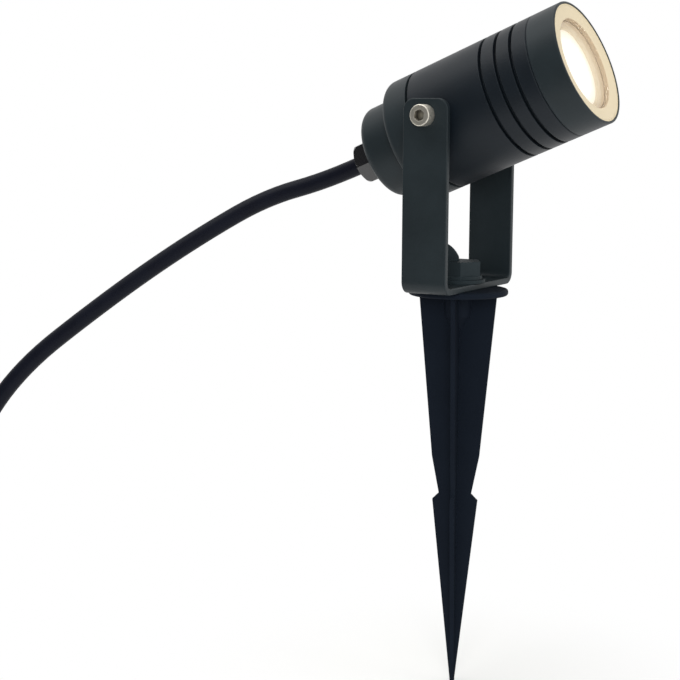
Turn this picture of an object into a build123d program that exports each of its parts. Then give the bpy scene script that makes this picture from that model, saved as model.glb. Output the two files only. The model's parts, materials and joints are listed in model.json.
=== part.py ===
"""Landscape spotlight: a round spot head in a U-shaped yoke on a cross-bladed ground spike.

Millimetres, +Z up. X is the way the head aims and Y is the pivot axis. The origin is on the spike's
axis at the ground line, just under the spike's flange.
"""

import math
import os

from build123d import *

# Head, as distances along its axis from the pivot, positive to the front
HEAD_R = 30.0
HEAD_TILT = 22.4
PIVOT_Z = 88.9
PIVOT_ABOVE_AXIS = 1.8
FRONT = 68.6
BEZEL_L = 14.9
REAR_SEAM = -12.8
CAP_L = 14.2
CAP_ROUND = 3.0
BOSS_L = 18.5
BOSS_STEP = 7.0
BOSS_ROUND = 4.0
GROOVE_COUNT = 3
GROOVE_PITCH = 8.2
GROOVE_SETBACK = 8.3
GROOVE_WIDTH = 1.8
GROOVE_DEPTH = 2.6
SEAM_CHAMFER = 0.5
REAR_GROOVE_WIDTH = 1.6
REAR_GROOVE_DEPTH = 1.8

# Inside the barrel
WEB_SETBACK = 15.7
WEB_T = 14.0
LAMP_WALL = 6.0
DRIVER_CAVITY_R = 18.0
SPIGOT_STEP = 2.8
SPIGOT_L = 7.0
THREAD_GAP = 0.05
CAP_SPIGOT_STEP = 5.0
CAP_SPIGOT_L = 6.0
CAP_WALL = 4.0
ORING_SECTION_R = 0.75
ORING_GROOVE_WIDTH = 2.0
ORING_GROOVE_DEPTH = 1.5
ORING_SETBACK = 1.0
WIRE_HOLE_R = 2.2
WIRE_HOLE_X = -11.5
CUT_OVERRUN = 1.0

# Front stack
RIM_WALL = 1.2
RIM_ROUND = 0.6
RIM_INNER_ROUND = 0.3
TRIM_INSET = 0.4
TRIM_DISH = 0.9
TRIM_EDGE_ROUND = 0.4
GLASS_INSET = 0.15
GLASS_T = 2.0
GLASS_FIT = 0.02
GLASS_LEDGE = 0.6
SEAL_T = 0.65
SEAL_FIT = 0.02
GASKET_T = 0.5
GASKET_WIDTH = 1.8
TRIM_T = 1.2
TRIM_CONE_T = 1.4
SKIRT_GAP = 3.0
SKIRT_WALL = 1.5
SKIRT_OVERHANG = 0.2
RECESS_DEPTH = 3.1
RECESS_FLARE = 2.6
LENS_LIP = 0.8
LENS_T = 2.6
LENS_FIT = 0.05

# Light engine
PAD_T = 0.3
PAD_INSET = 1.0
BOARD_T = 1.6
LED_BOARD_GAP = 4.0
LED_R = 6.5
LED_H = 1.0
LED_CHAMFER = 0.4
LED_SCREWS = 3
LED_SCREW_INSET = 5.0
LED_SCREW_R = 1.22
LED_SCREW_FIT = 0.03
LED_SCREW_HOLE_R = 1.6
LED_SCREW_L = 7.0
LED_SCREW_HEAD_R = 2.6
LED_SCREW_HEAD_H = 1.8
LED_SLOT_WIDTH = 0.7
LED_SLOT_DEPTH = 0.9
LEAD_R = 0.7
LEAD_Y = 1.0
LEAD_TAIL = 12.0
LEAD_STRAIGHT = 7.0
LEAD_TURN = 4.0
LEAD_PROUD = 0.8
REFLECTOR_T = 1.0
REFLECTOR_GAP = 0.6
REFLECTOR_FOOT = 1.6
REFLECTOR_RIM_T = 2.0
REFLECTOR_FIT = 0.2

# Driver
SLEEVE_T = 1.1
SLEEVE_GAP = 0.1
DRIVER_END_GAP = 6.0
DRIVER_BOARD_X = -5.6
DRIVER_EDGE_GAP = 0.4
RAIL = 1.3
RAIL_GRIP = 1.2
COMPONENT_GAP = 4.5
TRANSFORMER_SETBACK = 1.5
TRANSFORMER_W = 16.0
TRANSFORMER_H = 13.0
TRANSFORMER_CORE_L = 5.5
WINDING_L = 6.0
WINDING_INSET = 1.5
WINDING_ROUND = 2.0
CAPACITOR_R = 4.6
CAPACITOR_Y = -5.5
CAPACITOR_CHAMFER = 0.6
TERMINAL_W = 13.0
TERMINAL_L = 8.0
TERMINAL_H = 8.0
TERMINAL_PITCH = 6.4
TERMINAL_SCREW_R = 1.6
TERMINAL_SCREW_SINK = 1.2
TERMINAL_HOLE_R = 1.1
TERMINAL_HOLE_L = 3.0

# Gland and the cable's cores
GLAND_AF = 19.0
GLAND_TURN = -17.0
GLAND_THREAD_STEP = 1.0
GLAND_BODY_L = 4.0
GLAND_NUT_L = 9.8
GLAND_NUT_WALL = 2.2
GLAND_NOSE = ((3.2, 0.0), (0.9, 1.3), (-0.2, 4.0))
COLLET_T = 1.4
COLLET_L = 7.5
CABLE_R = 4.4
CABLE_GAP = 0.1
CABLE_GRIP = 0.02
CABLE_INSIDE = 2.0
CORE_R = 0.9
CORE_SPACING = 3.0
CORE_L = 5.5
CORE_STRAIGHT = 1.5
CORE_BEND_R = 1.2
CORE_END_GAP = 0.2

# Yoke and pivots
ARM_T = 3.0
ARM_WIDTH = 23.2
ARM_GAP = 4.0
ARM_ABOVE_PIVOT = 7.8
ARM_CORNER_R = 5.5
ARM_EDGE_ROUND = 0.5
ARM_HOLE_GAP = 0.02
BEND_INNER_R = 2.8
PIVOT_R = 3.0
PIVOT_FIT = 0.05
PIVOT_HEAD_R = 5.0
PIVOT_HEAD_H = 6.0
PIVOT_HEAD_ROUND = 0.6
PIVOT_SOCKET_AF = 5.0
PIVOT_SOCKET_DEPTH = 3.2
PIVOT_TIP_GAP = 2.0
SPACER_R = 6.0
SPACER_SEAT_DEPTH = 1.1
SPACER_FIT = 0.2

# Spike and stud, with the blades' half widths
FLANGE_LOW = 2.4
FLANGE_R = 24.3
FLANGE_T = 3.1
FLANGE_TOP_ROUND = 1.2
FLANGE_LOW_ROUND = 1.2
BLADE_T = 2.2
BLADE_TURN = 19.0
BLADE_TOP = 19.0
BLADE_WAIST = 11.7
BLADE_NECK = 8.0
BLADE_BARB = 11.2
BLADE_TIP = 0.9
WAIST_Z = -78.0
NECK_Z = -97.0
BARB_RISE = 3.2
SPIKE_TIP_Z = -194.5
HUB_WALL = 2.0
HUB_TAPER = 0.6
HUB_FLOOR = 2.0
HUB_CONE_L = 7.0
HUB_CONE_R = 1.5
STUD_R = 5.0
STUD_DEPTH = 6.0
STUD_FIT = 0.02
STUD_CHAMFER = 0.8
STUD_TOP_GAP = 0.4

# Washer and thumb nut, with its tab as an arc about a centre beside the nut
WASHER_R = 12.9
WASHER_T = 1.8
NUT_AF = 20.0
NUT_H = 8.7
NUT_TURN = 31.0
NUT_HEX_TURN = 30.0
NUT_FOOT_R = 11.4
NUT_FOOT_H = 1.7
NUT_TOP_WALL = 2.6
TAB_T = 4.5
TAB_R = 12.3
TAB_CENTRE_X = -11.4
TAB_CENTRE_DROP = 2.65
TAB_UNDER_Z = 3.0
TAB_EDGE_ROUND = 0.8

# Cable: the free stretch, then the put-away coil, tie and plug on the display floor
FLOOR_Z = SPIKE_TIP_Z
BEND_SHARE = 0.45
LEAST_BEND = 5.0
CABLE_LEAVES = 22.5
CABLE_LANDS = 21.0
COIL_CENTRE = (-360.0, -36.75)
COIL_TURNS = 3.25
COIL_TURNBACK = 0.5
COIL_INNER_R = 44.0
COIL_CLEARANCE = 0.7
COIL_STEPS_PER_TURN = 4
COIL_SAMPLES = 800
COIL_TAIL = 18.0
TIE_T = 1.0
TIE_WIDTH = 12.0
TIE_SLACK = 0.1
TIE_INNER_SLACK = 0.9
TIE_CORNER_R = 3.0
TIE_PLACE = 90.0
RELIEF_L = 22.0
RELIEF_SLIM = 1.6
RELIEF_WIDE = 4.0
RELIEF_SLOTS = 4
RELIEF_SLOT_START = 3.0
RELIEF_SLOT_PITCH = 4.4
RELIEF_SLOT_WIDTH = 2.0
RELIEF_CORE_WALL = 0.9
PLUG_L = 38.0
PLUG_W = 36.0
PLUG_NECK_W = 18.0
PLUG_NECK_T = 17.0
PLUG_SHOULDER_L = 12.0
PLUG_SHOULDER_STEP = 3.0
PLUG_SHOULDER_DROP = 1.0
PLUG_FACE_L = 8.0
PLUG_CORNER = 0.38
PLUG_PIN_R = 2.0
PLUG_PIN_L = 19.0
PLUG_PIN_SPACING = 18.6
PLUG_PIN_ROUND = 1.6

# What follows from these sizes
AXIS_DIR = Vector(math.cos(math.radians(HEAD_TILT)), 0, math.sin(math.radians(HEAD_TILT)))
UP_DIR = Vector(-math.sin(math.radians(HEAD_TILT)), 0, math.cos(math.radians(HEAD_TILT)))
PIVOT = Vector(0, 0, PIVOT_Z)
HEAD = Plane(origin=PIVOT - UP_DIR * PIVOT_ABOVE_AXIS, x_dir=UP_DIR, z_dir=AXIS_DIR)

BEZEL_SEAM = FRONT - BEZEL_L
WEB_FRONT = BEZEL_SEAM - WEB_SETBACK
WEB_BACK = WEB_FRONT - WEB_T
SPIGOT_R = HEAD_R - SPIGOT_STEP
SPIGOT_END = BEZEL_SEAM + SPIGOT_L
LAMP_CAVITY_R = HEAD_R - LAMP_WALL
CAP_SPIGOT_R = HEAD_R - CAP_SPIGOT_STEP
CAP_SPIGOT_END = REAR_SEAM + CAP_SPIGOT_L
CAP_END = REAR_SEAM - CAP_L
BOSS_R = HEAD_R - BOSS_STEP
BOSS_END = CAP_END - BOSS_L
CAP_FLOOR = BOSS_END + CAP_WALL

TRIM_FACE = FRONT - TRIM_INSET
TRIM_LIP = TRIM_FACE - TRIM_DISH
GLASS_FRONT = TRIM_LIP - GLASS_INSET
GLASS_BACK = GLASS_FRONT - GLASS_T
POCKET_R = HEAD_R - RIM_WALL
TRIM_R = POCKET_R - SEAL_T - 2 * SEAL_FIT
SHOULDER = GLASS_BACK - TRIM_T
GASKET_END = SPIGOT_END + GASKET_T
SHOULDER_BORE_R = SPIGOT_R - GASKET_WIDTH
SKIRT_R = LAMP_CAVITY_R - SKIRT_GAP
LENS_R = SKIRT_R - SKIRT_WALL
LENS_VIEW_R = LENS_R - LENS_LIP
RECESS_R = LENS_VIEW_R + RECESS_FLARE
TRIM_OPENING_R = RECESS_R + GLASS_LEDGE
GLASS_R = TRIM_OPENING_R - GLASS_FIT
LENS_FRONT = GLASS_BACK - RECESS_DEPTH
LENS_BACK = LENS_FRONT - LENS_T
SKIRT_END = LENS_BACK - SKIRT_OVERHANG

LED_BOARD_BACK = WEB_FRONT + PAD_T
LED_BOARD_FRONT = LED_BOARD_BACK + BOARD_T
LED_BOARD_R = LAMP_CAVITY_R - LED_BOARD_GAP
LED_SCREW_CIRCLE_R = LED_BOARD_R - LED_SCREW_INSET

CABLE_D = 2 * CABLE_R
CABLE_END = CAP_FLOOR + CABLE_INSIDE
SLEEVE_R = DRIVER_CAVITY_R - SLEEVE_GAP
SLEEVE_BORE_R = SLEEVE_R - SLEEVE_T
DRIVER_FRONT = WEB_BACK - DRIVER_END_GAP
DRIVER_BACK = CABLE_END + CORE_L
DRIVER_TOP_X = DRIVER_BOARD_X + BOARD_T
DRIVER_HALF_WIDTH = math.sqrt(SLEEVE_BORE_R ** 2 - DRIVER_BOARD_X ** 2) - DRIVER_EDGE_GAP
TRANSFORMER_FRONT = DRIVER_FRONT - TRANSFORMER_SETBACK
TRANSFORMER_BACK = TRANSFORMER_FRONT - 2 * TRANSFORMER_CORE_L - WINDING_L

GLAND_THREAD_R = GLAND_AF / 2 - GLAND_THREAD_STEP
GLAND_SHOULDER = BOSS_END - GLAND_BODY_L
GLAND_END = GLAND_SHOULDER - GLAND_NUT_L
COLLET_R = GLAND_AF / 2 - GLAND_NUT_WALL
COLLET_BORE_R = COLLET_R - COLLET_T
CABLE_EXIT = HEAD.from_local_coords(Vector(0, 0, GLAND_END))

ARM_INNER_Y = HEAD_R + ARM_GAP
ARM_OUTER_Y = ARM_INNER_Y + ARM_T
ARM_TOP_Z = PIVOT_Z + ARM_ABOVE_PIVOT
SPACER_SEAT_Y = HEAD_R - SPACER_SEAT_DEPTH
PIVOT_TIP_Y = DRIVER_CAVITY_R + PIVOT_TIP_GAP
FLANGE_TOP = FLANGE_LOW + FLANGE_T
BASE_TOP = FLANGE_TOP + ARM_T
WASHER_TOP = BASE_TOP + WASHER_T
NUT_TOP = WASHER_TOP + NUT_H
TAB_CENTRE_Z = NUT_TOP - TAB_CENTRE_DROP

COIL_PITCH = CABLE_D + COIL_CLEARANCE
COIL_LOW_Z = FLOOR_Z + TIE_T + CABLE_R
COIL_HIGH_Z = COIL_LOW_Z + COIL_PITCH
COIL_OUTER_R = COIL_INNER_R + COIL_PITCH * (COIL_TURNS / 2 - COIL_TURNBACK / 4)
COIL_ENTRY = Vector(COIL_CENTRE[0] + CABLE_D, COIL_CENTRE[1] - COIL_OUTER_R, COIL_LOW_Z)
PLUG_T = 2 * (COIL_HIGH_Z - FLOOR_Z)


def turned(points):
    """Solid turned about Z from (radius, height) points."""
    outline = Polyline(*[(r, 0, z) for r, z in points], close=True)
    return revolve(make_face(outline), Axis.Z)


def tube(low, high, outer, inner):
    """Ring between two heights, or a disc where the inner radius is 0."""
    return turned([(inner, low), (outer, low), (outer, high), (inner, high)])


def rod(low, high, radius, x=0.0, y=0.0):
    """Round rod along Z at a place."""
    return Pos(x, y, low) * extrude(Circle(radius), high - low)


def hexagon(low, high, across_flats):
    """Hexagonal prism along Z."""
    outline = RegularPolygon(across_flats / 2, 6, major_radius=False)
    return Pos(0, 0, low) * extrude(outline, high - low)


def block(x0, x1, y0, y1, z0, z1):
    """Box between two corners."""
    centre = Pos((x0 + x1) / 2, (y0 + y1) / 2, (z0 + z1) / 2)
    return centre * Box(x1 - x0, y1 - y0, z1 - z0)


def rims(part, radius, height):
    """Round edges of a radius at a height."""
    circles = part.edges().filter_by(GeomType.CIRCLE)
    return [e for e in circles if abs(e.radius - radius) < 0.01 and abs(e.arc_center.Z - height) < 0.01]


def wire_along(points, radius, bend):
    """Round wire along points with its corners bent to a radius."""
    path = FilletPolyline(*points, radius=bend)
    return sweep(Plane(path @ 0, z_dir=path % 0) * Circle(radius), path)


def cross_pin(y0, y1, radius):
    """Cylinder along the pivot axis, in the head's own frame."""
    start = Plane(origin=(PIVOT_ABOVE_AXIS, y0, 0), z_dir=(0, 1 if y1 > y0 else -1, 0))
    return start * extrude(Circle(radius), abs(y1 - y0))


def led_screw_places():
    """Places of the LED board's screws, on a circle, with one straight up."""
    for k in range(LED_SCREWS):
        angle = 2 * math.pi * k / LED_SCREWS
        yield LED_SCREW_CIRCLE_R * math.cos(angle), LED_SCREW_CIRCLE_R * math.sin(angle)


def head_barrel():
    """Turned body: grooves outside and at the rear seam, a driver bore, a web and a lamp bore."""
    body = turned([
        (CAP_SPIGOT_R, REAR_SEAM), (HEAD_R - REAR_GROOVE_DEPTH, REAR_SEAM),
        (HEAD_R - REAR_GROOVE_DEPTH, REAR_SEAM + REAR_GROOVE_WIDTH), (HEAD_R, REAR_SEAM + REAR_GROOVE_WIDTH),
        (HEAD_R, BEZEL_SEAM - SEAM_CHAMFER), (HEAD_R - SEAM_CHAMFER, BEZEL_SEAM), (SPIGOT_R, BEZEL_SEAM),
        (SPIGOT_R, SPIGOT_END), (LAMP_CAVITY_R, SPIGOT_END), (LAMP_CAVITY_R, WEB_FRONT), (0, WEB_FRONT),
        (0, WEB_BACK), (DRIVER_CAVITY_R, WEB_BACK), (DRIVER_CAVITY_R, CAP_SPIGOT_END),
        (CAP_SPIGOT_R, CAP_SPIGOT_END),
    ])
    outside = HEAD_R + CUT_OVERRUN
    for k in range(GROOVE_COUNT):
        high = BEZEL_SEAM - GROOVE_SETBACK - k * GROOVE_PITCH + GROOVE_WIDTH / 2
        body -= tube(high - GROOVE_WIDTH, high, outside, HEAD_R - GROOVE_DEPTH)
    for side in (-1, 1):
        body -= cross_pin(side * (DRIVER_CAVITY_R - CUT_OVERRUN), side * outside, PIVOT_R)
        body -= cross_pin(side * SPACER_SEAT_Y, side * outside, SPACER_R + SPACER_FIT)
    body -= rod(WEB_BACK - CUT_OVERRUN, WEB_FRONT + CUT_OVERRUN, WIRE_HOLE_R, WIRE_HOLE_X)
    for x, y in led_screw_places():
        depth = LED_SCREW_L + CUT_OVERRUN
        body -= rod(WEB_FRONT - depth, WEB_FRONT + CUT_OVERRUN, LED_SCREW_R + LED_SCREW_FIT, x, y)
    return body


def front_bezel():
    """Screw-on ring: a thread over the barrel's spigot, a shoulder, and a pocket for the trim ring."""
    ring = turned([
        (SPIGOT_R + THREAD_GAP, BEZEL_SEAM), (HEAD_R - SEAM_CHAMFER, BEZEL_SEAM),
        (HEAD_R, BEZEL_SEAM + SEAM_CHAMFER), (HEAD_R, FRONT), (POCKET_R, FRONT), (POCKET_R, SHOULDER),
        (SHOULDER_BORE_R, SHOULDER), (SHOULDER_BORE_R, GASKET_END), (SPIGOT_R + THREAD_GAP, GASKET_END),
    ])
    ring = fillet(rims(ring, HEAD_R, FRONT), RIM_ROUND)
    return fillet(rims(ring, POCKET_R, FRONT), RIM_INNER_ROUND)


def bezel_gasket():
    """Flat gasket between the barrel's spigot and the bezel."""
    return tube(SPIGOT_END, GASKET_END, SPIGOT_R, SHOULDER_BORE_R)


def front_glass():
    """Clear glass disc, set into the trim ring."""
    return tube(GLASS_BACK, GLASS_FRONT, GLASS_R, 0)


def glass_seal():
    """Seal between the trim ring's edge and the bezel's pocket."""
    return tube(SHOULDER, TRIM_FACE, POCKET_R - SEAL_FIT, TRIM_R + SEAL_FIT)


def trim_ring():
    """Cream ring: a dished face, a seat for the glass, a shallow cone and a skirt that holds the lens."""
    ring = turned([
        (TRIM_OPENING_R, TRIM_LIP), (TRIM_R, TRIM_FACE), (TRIM_R, SHOULDER),
        (RECESS_R + TRIM_CONE_T, SHOULDER), (SKIRT_R, LENS_FRONT), (SKIRT_R, SKIRT_END),
        (LENS_R, SKIRT_END), (LENS_R, LENS_FRONT), (LENS_VIEW_R, LENS_FRONT),
        (RECESS_R, GLASS_BACK), (TRIM_OPENING_R, GLASS_BACK),
    ])
    return fillet(rims(ring, TRIM_OPENING_R, TRIM_LIP), TRIM_EDGE_ROUND)


def lens():
    """Frosted lens disc."""
    return tube(LENS_BACK, LENS_FRONT, LENS_R - LENS_FIT, 0)


def reflector_cup():
    """Cone from the LED to the lens, with a foot on the board and a rim under the trim ring's skirt."""
    foot_in = LED_R + REFLECTOR_GAP
    foot_out = foot_in + REFLECTOR_T
    foot_top = LED_BOARD_FRONT + REFLECTOR_FOOT
    seat = LENS_R - REFLECTOR_FIT
    rim_low = SKIRT_END - REFLECTOR_RIM_T
    return turned([
        (foot_in, LED_BOARD_FRONT), (foot_out, LED_BOARD_FRONT), (foot_out, foot_top), (seat, rim_low),
        (SKIRT_R, rim_low), (SKIRT_R, SKIRT_END), (seat, SKIRT_END), (seat, LENS_BACK),
        (seat - REFLECTOR_T, LENS_BACK), (foot_in, foot_top),
    ])


def led_emitter():
    """Round emitter with a chamfered top."""
    disc = tube(LED_BOARD_FRONT, LED_BOARD_FRONT + LED_H, LED_R, 0)
    return chamfer(rims(disc, LED_R, LED_BOARD_FRONT + LED_H), LED_CHAMFER)


def drilled_disc(low, high, radius):
    """Disc with the light engine's screw and wire holes."""
    below, above = low - CUT_OVERRUN, high + CUT_OVERRUN
    disc = tube(low, high, radius, 0) - rod(below, above, WIRE_HOLE_R, WIRE_HOLE_X)
    for x, y in led_screw_places():
        disc -= rod(below, above, LED_SCREW_HOLE_R, x, y)
    return disc


def led_board():
    """LED circuit board."""
    return drilled_disc(LED_BOARD_BACK, LED_BOARD_FRONT, LED_BOARD_R)


def thermal_pad():
    """Heat pad between the LED board and the web."""
    return drilled_disc(WEB_FRONT, LED_BOARD_BACK, LED_BOARD_R - PAD_INSET)


def led_screws():
    """Small pan head screws that hold the LED board to the web."""
    top = LED_BOARD_FRONT + LED_SCREW_HEAD_H
    screws = []
    for x, y in led_screw_places():
        head = rod(LED_BOARD_FRONT, top, LED_SCREW_HEAD_R, x, y)
        shank = rod(WEB_FRONT - LED_SCREW_L, LED_BOARD_FRONT, LED_SCREW_R, x, y)
        slot = Pos(x, y, top) * Box(2 * LED_SCREW_HEAD_R, LED_SLOT_WIDTH, 2 * LED_SLOT_DEPTH)
        screws.append((head + shank - slot).solid())
    return Compound(screws)


def rear_cap():
    """Rear cover: a spigot into the barrel, a rounded shoulder and a smaller boss for the gland."""
    groove_low = REAR_SEAM + ORING_SETBACK
    groove_high = groove_low + ORING_GROOVE_WIDTH
    spigot = CAP_SPIGOT_R - THREAD_GAP
    groove_floor = spigot - ORING_GROOVE_DEPTH
    cap = turned([
        (DRIVER_CAVITY_R, CAP_SPIGOT_END), (spigot, CAP_SPIGOT_END), (spigot, groove_high),
        (groove_floor, groove_high), (groove_floor, groove_low), (spigot, groove_low), (spigot, REAR_SEAM),
        (HEAD_R, REAR_SEAM), (HEAD_R, CAP_END), (BOSS_R, CAP_END), (BOSS_R, BOSS_END),
        (GLAND_THREAD_R, BOSS_END), (GLAND_THREAD_R, CAP_FLOOR), (DRIVER_CAVITY_R, CAP_FLOOR),
    ])
    cap = fillet(rims(cap, HEAD_R, CAP_END), CAP_ROUND)
    return fillet(rims(cap, BOSS_R, BOSS_END), BOSS_ROUND)


def cap_oring():
    """O-ring between the rear cap's spigot and the barrel."""
    middle = REAR_SEAM + ORING_SETBACK + ORING_GROOVE_WIDTH / 2
    return Pos(0, 0, middle) * Torus(CAP_SPIGOT_R - THREAD_GAP - ORING_SECTION_R, ORING_SECTION_R)


def driver_sleeve():
    """Insulating tube round the driver, with two pairs of rails that hold the board."""
    sleeve = tube(CAP_FLOOR, WEB_BACK, SLEEVE_R, SLEEVE_BORE_R)
    inside = rod(CAP_FLOOR, WEB_BACK, SLEEVE_R)
    for side in (-1, 1):
        near, far = sorted((side * (DRIVER_HALF_WIDTH - RAIL_GRIP), side * SLEEVE_R))
        for x in (DRIVER_BOARD_X - RAIL, DRIVER_TOP_X):
            sleeve += block(x, x + RAIL, near, far, DRIVER_BACK, DRIVER_FRONT) & inside
    return sleeve


def driver_board():
    """Driver circuit board, held by its long edges."""
    y = DRIVER_HALF_WIDTH
    return block(DRIVER_BOARD_X, DRIVER_TOP_X, -y, y, DRIVER_BACK, DRIVER_FRONT)


def driver_transformer():
    """Transformer: a wound middle between two core halves."""
    core_y = TRANSFORMER_W / 2
    coil_y = core_y - WINDING_INSET
    coil_low = TRANSFORMER_BACK + TRANSFORMER_CORE_L
    coil_high = coil_low + WINDING_L
    core_top = DRIVER_TOP_X + TRANSFORMER_H
    rear = block(DRIVER_TOP_X, core_top, -core_y, core_y, TRANSFORMER_BACK, coil_low)
    front = block(DRIVER_TOP_X, core_top, -core_y, core_y, coil_high, TRANSFORMER_FRONT)
    winding = block(DRIVER_TOP_X, core_top - WINDING_INSET, -coil_y, coil_y, coil_low, coil_high)
    return rear + front + fillet(winding.edges().filter_by(Axis.Z), WINDING_ROUND)


def driver_capacitor():
    """Electrolytic capacitor lying along the board, between the terminal and the transformer."""
    low = DRIVER_BACK + TERMINAL_L + COMPONENT_GAP
    can = rod(low, TRANSFORMER_BACK - COMPONENT_GAP, CAPACITOR_R, DRIVER_TOP_X + CAPACITOR_R, CAPACITOR_Y)
    return chamfer(can.edges().filter_by(GeomType.CIRCLE), CAPACITOR_CHAMFER)


def terminal_block():
    """Two-way screw terminal at the rear of the driver board."""
    top = DRIVER_TOP_X + TERMINAL_H
    y = TERMINAL_W / 2
    housing = block(DRIVER_TOP_X, top, -y, y, DRIVER_BACK, DRIVER_BACK + TERMINAL_L)
    for side in (-1, 1):
        place = side * TERMINAL_PITCH / 2
        down = Plane(origin=(top, place, DRIVER_BACK + TERMINAL_L / 2), z_dir=(-1, 0, 0))
        housing -= down * extrude(Circle(TERMINAL_SCREW_R), TERMINAL_SCREW_SINK)
        hole_x = DRIVER_TOP_X + TERMINAL_H / 2
        housing -= rod(DRIVER_BACK, DRIVER_BACK + TERMINAL_HOLE_L, TERMINAL_HOLE_R, hole_x, place)
    return housing


def led_lead(y):
    """Lead from the underside of the driver board through the web to the LED board."""
    under = DRIVER_BOARD_X - LEAD_R
    start = DRIVER_FRONT - LEAD_TAIL
    points = [
        (under, y, start), (under, y, start + LEAD_STRAIGHT), (WIRE_HOLE_X, y, WEB_BACK - LEAD_TURN),
        (WIRE_HOLE_X, y, LED_BOARD_FRONT + LEAD_PROUD),
    ]
    return wire_along(points, LEAD_R, LEAD_TURN)


def supply_core(side):
    """Core from the cable's end into the terminal block."""
    x = DRIVER_TOP_X + TERMINAL_H / 2
    leaves = side * CORE_SPACING / 2
    enters = side * TERMINAL_PITCH / 2
    points = [
        (0, leaves, CABLE_END), (0, leaves, CABLE_END + CORE_STRAIGHT),
        (x, enters, DRIVER_BACK - CORE_STRAIGHT), (x, enters, DRIVER_BACK + TERMINAL_HOLE_L - CORE_END_GAP),
    ]
    return wire_along(points, CORE_R, CORE_BEND_R)


def gland_body():
    """Gland body: a thread into the rear cap, a hex and a collet that the nut closes."""
    bore = CABLE_R + CABLE_GAP
    thread = tube(BOSS_END, CAP_FLOOR, GLAND_THREAD_R - THREAD_GAP, bore)
    collar = Rot(0, 0, GLAND_TURN) * hexagon(GLAND_SHOULDER, BOSS_END, GLAND_AF)
    collar -= rod(GLAND_SHOULDER, BOSS_END, bore)
    collet = tube(GLAND_SHOULDER - COLLET_L, GLAND_SHOULDER, COLLET_R, COLLET_BORE_R)
    return thread + collar + collet


def gland_seal():
    """Rubber bush that the gland squeezes on the cable."""
    return tube(GLAND_SHOULDER - COLLET_L, GLAND_SHOULDER, COLLET_BORE_R - THREAD_GAP, CABLE_R + CABLE_GRIP)


def gland_nut():
    """Hex nut of the gland, with a rounded end round the cable."""
    prism = Rot(0, 0, GLAND_TURN) * hexagon(GLAND_END, GLAND_SHOULDER, GLAND_AF)
    corner = GLAND_AF / math.sqrt(3)
    nose = [(corner - inward, GLAND_END + height) for inward, height in GLAND_NOSE]
    dome = turned([(0, GLAND_END)] + nose + [(nose[-1][0], GLAND_SHOULDER), (0, GLAND_SHOULDER)])
    collet_room = rod(GLAND_SHOULDER - COLLET_L - CABLE_GAP, GLAND_SHOULDER, COLLET_R + THREAD_GAP)
    return (prism & dome) - collet_room - rod(GLAND_END, GLAND_SHOULDER, CABLE_R + CABLE_GAP)


def cable_end():
    """End of the cable inside the gland and the rear cap."""
    return rod(GLAND_END, CABLE_END, CABLE_R)


def pivot_screw(side):
    """Socket cap screw through one arm into the barrel."""
    face = side * (ARM_OUTER_Y + PIVOT_HEAD_H)
    head = cross_pin(side * ARM_OUTER_Y, face, PIVOT_HEAD_R)
    rim = head.edges().filter_by(GeomType.CIRCLE).sort_by(Axis.Y)[-1 if side > 0 else 0]
    head = fillet(rim, PIVOT_HEAD_ROUND)
    inward = Plane(origin=(PIVOT_ABOVE_AXIS, face, 0), z_dir=(0, -side, 0))
    socket = RegularPolygon(PIVOT_SOCKET_AF / 2, 6, major_radius=False)
    head -= inward * extrude(socket, PIVOT_SOCKET_DEPTH)
    return head + cross_pin(side * PIVOT_TIP_Y, side * ARM_OUTER_Y, PIVOT_R - PIVOT_FIT)


def pivot_spacer(side):
    """Spacer between the barrel and one arm."""
    ring = cross_pin(side * SPACER_SEAT_Y, side * ARM_INNER_Y, SPACER_R)
    return ring - cross_pin(side * SPACER_SEAT_Y, side * ARM_INNER_Y, PIVOT_R + PIVOT_FIT)


def yoke_bracket():
    """Bent strip with softened edges: two arms with rounded tops and a base with the stud's hole."""
    half = ARM_WIDTH / 2
    strip = block(-half, half, -ARM_OUTER_Y, ARM_OUTER_Y, FLANGE_TOP, ARM_TOP_Z)
    gap = block(-ARM_WIDTH, ARM_WIDTH, -ARM_INNER_Y, ARM_INNER_Y, BASE_TOP, ARM_TOP_Z + CUT_OVERRUN)
    strip = fillet(strip.edges().filter_by(Axis.X).group_by(Axis.Z)[0], BEND_INNER_R + ARM_T)
    gap = fillet(gap.edges().filter_by(Axis.X).group_by(Axis.Z)[0], BEND_INNER_R)
    strip -= gap
    strip = fillet(strip.edges().filter_by(Axis.Y).group_by(Axis.Z)[-1], ARM_CORNER_R)
    smooth = [e for e in strip.edges().filter_by(Axis.Y) if e.length < 2 * ARM_T]
    smooth += [e for e in strip.edges().filter_by(Axis.X) if e.length > ARM_WIDTH - ARM_T]
    strip = fillet([e for e in strip.edges() if e not in smooth], ARM_EDGE_ROUND)
    outside = ARM_OUTER_Y + CUT_OVERRUN
    across = Plane(origin=(0, -outside, PIVOT_Z), z_dir=(0, 1, 0))
    strip -= across * extrude(Circle(PIVOT_R + ARM_HOLE_GAP), 2 * outside)
    return strip - rod(FLANGE_TOP - CUT_OVERRUN, BASE_TOP + CUT_OVERRUN, STUD_R + PIVOT_FIT)


def spike_blade():
    """One blade of the cross: a long taper, a neck, a barb and a second taper to the tip."""
    edge = [
        (BLADE_TOP, FLANGE_LOW), (BLADE_WAIST, WAIST_Z), (BLADE_NECK, NECK_Z),
        (BLADE_BARB, NECK_Z - BARB_RISE), (BLADE_TIP, SPIKE_TIP_Z),
    ]
    outline = edge + [(-r, z) for r, z in reversed(edge)]
    face = make_face(Polyline(*[(r, 0, z) for r, z in outline], close=True))
    return extrude(face, BLADE_T / 2, both=True)


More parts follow.
